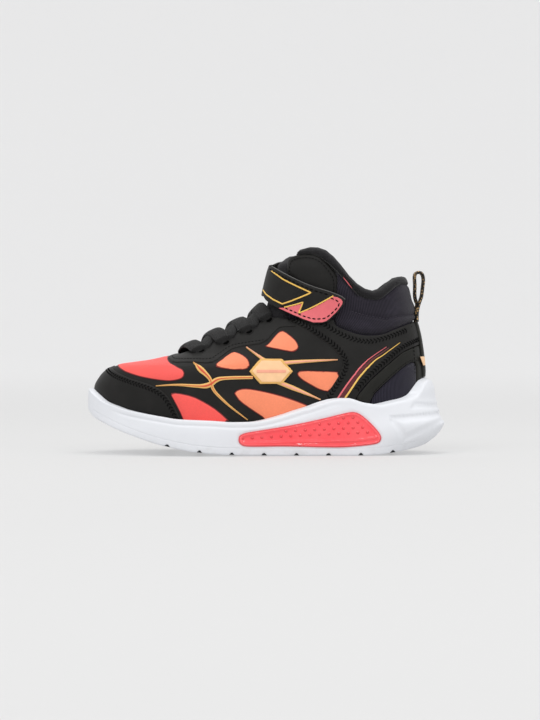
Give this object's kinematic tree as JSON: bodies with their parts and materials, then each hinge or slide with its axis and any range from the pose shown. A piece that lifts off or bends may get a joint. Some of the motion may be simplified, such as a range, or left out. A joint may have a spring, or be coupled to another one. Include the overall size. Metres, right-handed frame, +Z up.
{
  "type": "high-top basketball shoe",
  "caption": "Kids' high-top basketball shoe with cupsole, clear red side window, elastic laces, ankle strap and heel pull loop.",
  "frame": {"origin": "middle of the shoe's length and width, on the ground under the outsole", "axes": "+Z up, -X to the toe, +X to the heel, -Y the outer (lateral) side of this left shoe"},
  "size_m": [0.22, 0.0885, 0.1275],
  "materials": {
    "sole_rubber": "moulded off-white rubber, satin, fine side texture",
    "sole_foam": "off-white moulded sole foam, satin",
    "window": "clear red moulded window, glossy, raised studs",
    "board": "pressed fibre board",
    "insole": "foam insole with woven cover",
    "knit": "dark woven base fabric",
    "lining": "black knit lining",
    "collar_textile": "dark navy-purple ribbed fabric",
    "foam": "open-cell padding foam",
    "black_synthetic": "smooth black synthetic leather, fine grain",
    "heel_synthetic": "greenish black synthetic leather",
    "red_panel": "coral red film over mesh, dark red edge",
    "orange_panel": "orange film over mesh, dark red edge",
    "emblem": "raised peach rubber badge, plain pattern",
    "tongue_textile": "black padded tongue fabric",
    "elastic_lace": "flat black woven elastic",
    "strap_webbing": "black synthetic strap with printed lines and stitching",
    "touch_tape": "hook and loop tape",
    "loop_webbing": "black webbing with tan flecks"
  },
  "bodies": {
    "shoe_body": {"outsole": "sole_rubber", "midsole": "sole_foam", "window_lateral": "window", "window_medial": "window", "strobel_board": "board", "insole": "insole", "vamp_base": "knit", "quarter_base": "knit", "toe_puff": "board", "heel_counter": "board", "lining": "lining", "collar_shell": "collar_textile", "collar_foam": "foam", "collar_lining": "lining", "collar_roll": "lining", "toe_cap": "black_synthetic", "panel_vamp": "red_panel", "cage": "black_synthetic", "eyestay": "black_synthetic", "heel_panel": "heel_synthetic", "backstay": "heel_synthetic", "strap_root": "strap_webbing", "strap_anchor": "strap_webbing", "loop_patch": "touch_tape", "loop_tail": "loop_webbing", "panel_lower_lateral": "red_panel", "panel_middle_lateral": "orange_panel", "panel_waist_lateral": "orange_panel", "panel_upper_lateral": "orange_panel", "panel_rear_lateral": "orange_panel", "saddle_lateral": "black_synthetic", "ankle_flap_lateral": "black_synthetic", "heel_inset_lateral": "collar_textile", "emblem_lateral": "emblem", "panel_lower_medial": "red_panel", "panel_middle_medial": "orange_panel", "panel_waist_medial": "orange_panel", "panel_upper_medial": "orange_panel", "panel_rear_medial": "orange_panel", "saddle_medial": "black_synthetic", "ankle_flap_medial": "black_synthetic", "heel_inset_medial": "collar_textile", "emblem_medial": "emblem", "lace_under_1": "elastic_lace", "lace_under_2": "elastic_lace", "lace_under_3": "elastic_lace", "lace_under_4": "elastic_lace", "lace_over_1": "elastic_lace", "lace_over_2": "elastic_lace", "lace_over_3": "elastic_lace"},
    "strap": {"strap_band": "strap_webbing", "hook_patch": "touch_tape"},
    "tongue": {"tongue_shell": "tongue_textile", "tongue_foam": "foam", "tongue_lining": "lining"},
    "loop": {"pull_loop": "loop_webbing"}
  },
  "joints": [
    {"name": "strap_open", "type": "hinge", "parent": "shoe_body", "child": "strap", "pos_m": [0.00745, 0.0227, 0.102], "axis": [-0.2631, -0.1201, -0.9573], "range_deg": [0, 100]},
    {"name": "tongue_tilt", "type": "hinge", "parent": "shoe_body", "child": "tongue", "pos_m": [-0.051, 0, 0.0575], "axis": [0, 1, 0], "range_deg": [0, 14]},
    {"name": "pull_loop_fold", "type": "hinge", "parent": "shoe_body", "child": "loop", "pos_m": [0.0947, 0, 0.0913], "axis": [0, 1, 0], "range_deg": [-5, 100]}
  ]
}
